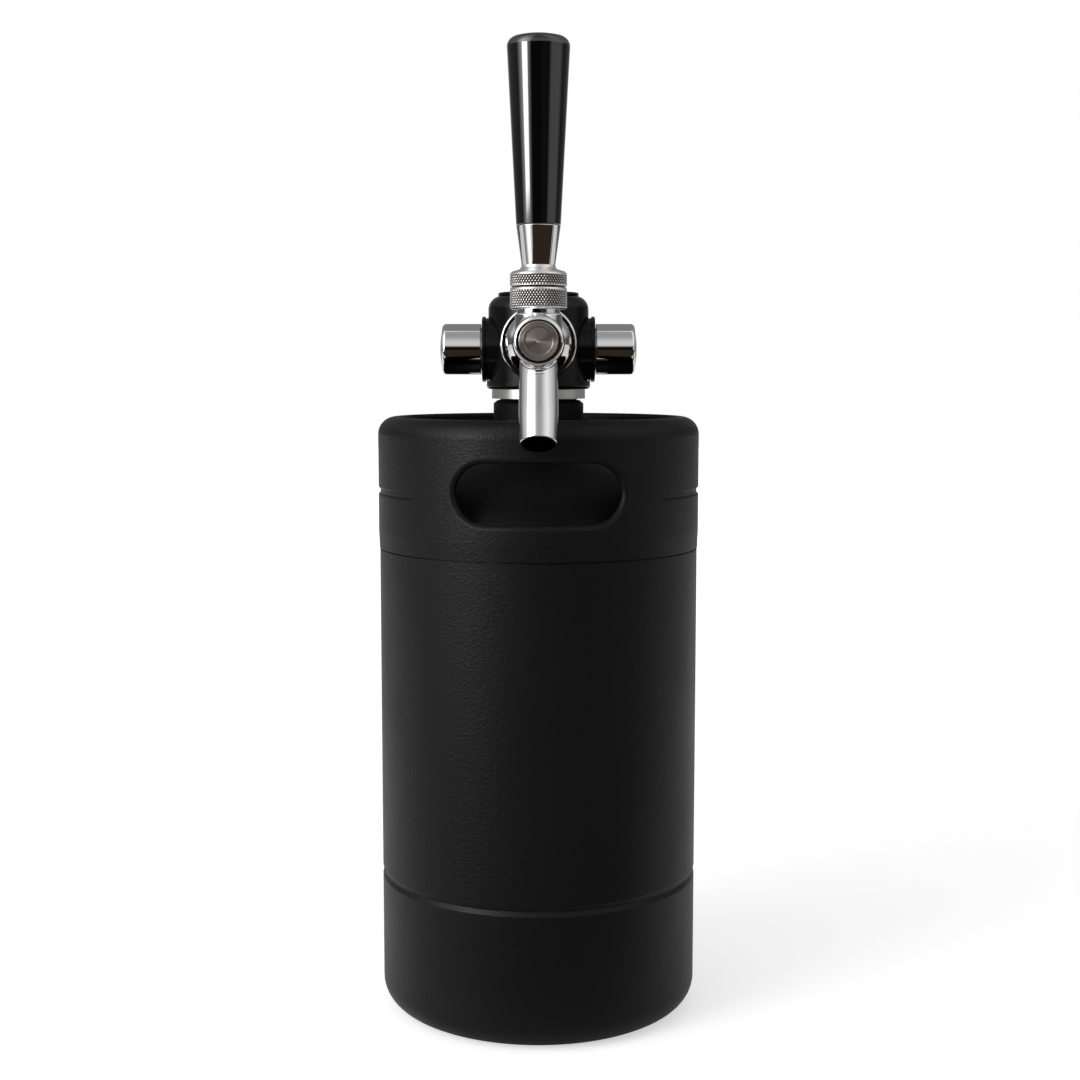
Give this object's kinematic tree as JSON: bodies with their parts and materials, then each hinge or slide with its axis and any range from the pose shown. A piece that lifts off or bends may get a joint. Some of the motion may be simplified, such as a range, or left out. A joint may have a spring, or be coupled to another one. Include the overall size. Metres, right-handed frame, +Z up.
{
  "type": "mini keg beer dispenser",
  "caption": "Matt black mini keg with rolled handle slots and a screw-on head that carries a chrome beer faucet with a tall black handle and a capped gas port on each side.",
  "frame": {"origin": "centre of the keg's foot, on the floor", "axes": "+Z up along the keg's axis, -Y towards the spout, +X to the right seen from the front"},
  "size_m": [0.1568, 0.1784, 0.4611],
  "materials": {
    "powder_coat": "matt leather-textured powder coat",
    "bare_steel": "turned and brushed",
    "chrome": "mirror",
    "housing_black": "satin",
    "rubber": "matt",
    "brass": "turned",
    "grip_black": "high gloss",
    "nylon": "natural"
  },
  "bodies": {
    "keg": {"keg_body": "powder_coat", "keg_dome": "powder_coat", "top_chime": "powder_coat", "keg_neck": "powder_coat"},
    "head_seal": {"head_gasket": "rubber"},
    "head": {"head_core": "bare_steel", "dip_tube": "bare_steel", "dip_tube_nut": "bare_steel", "dip_tube_seal": "rubber", "head_housing": "housing_black", "head_lid": "housing_black", "left_port_collar": "housing_black", "right_port_collar": "housing_black", "inlet_fitting": "bare_steel", "inlet_fitting_seal": "rubber", "inlet_guide": "bare_steel", "inlet_spring": "bare_steel", "relief_fitting": "bare_steel", "relief_fitting_seal": "rubber", "relief_guide": "bare_steel", "relief_spring": "bare_steel", "tap_shank": "bare_steel", "shank_flange": "chrome", "coupling_nut": "chrome", "shank_washer": "rubber", "faucet_body": "chrome", "front_plug": "bare_steel", "front_plug_seal": "rubber", "lever_seal": "rubber", "ball_washer": "nylon", "faucet_bonnet": "bare_steel"},
    "inlet_cap_seal": {"inlet_cap_seal": "rubber"},
    "inlet_cap": {"inlet_cap": "chrome"},
    "inlet_pin": {"inlet_pin": "brass"},
    "relief_knob": {"relief_cap": "chrome", "relief_stem": "brass", "relief_seal": "rubber"},
    "handle": {"tap_lever": "bare_steel", "lever_collar": "bare_steel", "handle_ferrule": "chrome", "grip_insert": "brass", "handle_grip": "grip_black"},
    "valve_shaft": {"valve_shaft": "bare_steel", "seat_washer": "rubber", "shaft_nut": "brass"}
  },
  "joints": [
    {"name": "head_rise", "type": "slide", "parent": "keg", "child": "head_seal", "axis": [0, 0, 1], "range_m": [0, 0.012]},
    {"name": "head_turn", "type": "hinge", "parent": "head_seal", "child": "head", "pos_m": [0, 0, 0.305], "axis": [0, 0, 1], "range_deg": [0, 1440]},
    {"name": "inlet_cap_back", "type": "slide", "parent": "head", "child": "inlet_cap_seal", "axis": [-1, 0, 0], "range_m": [0, 0.009]},
    {"name": "inlet_cap_turn", "type": "hinge", "parent": "inlet_cap_seal", "child": "inlet_cap", "pos_m": [-0.035, 0, 0.3243], "axis": [-1, 0, 0], "range_deg": [0, 2160]},
    {"name": "inlet_pin_push", "type": "slide", "parent": "head", "child": "inlet_pin", "axis": [1, 0, 0], "range_m": [0, 0.0015], "stiffness_N_per_m": 800, "springref_m": -0.002, "deforming": ["inlet_spring"]},
    {"name": "relief_pull", "type": "slide", "parent": "head", "child": "relief_knob", "axis": [1, 0, 0], "range_m": [0, 0.003], "stiffness_N_per_m": 1500, "springref_m": -0.004, "deforming": ["relief_spring"]},
    {"name": "handle_pull", "type": "hinge", "parent": "head", "child": "handle", "pos_m": [0, -0.068, 0.341], "axis": [1, 0, 0], "range_deg": [0, 25]},
    {"name": "shaft_slide", "type": "slide", "parent": "head", "child": "valve_shaft", "axis": [0, 1, 0], "range_m": [0, 0.0065]}
  ],
  "couplings": [
    {"joint": "head_rise", "follows": "head_turn", "m_per_rad": 0.00047746},
    {"joint": "inlet_cap_back", "follows": "inlet_cap_turn", "m_per_rad": 0.00023873},
    {"joint": "shaft_slide", "follows": "handle_pull", "m_per_rad": 0.0139}
  ]
}
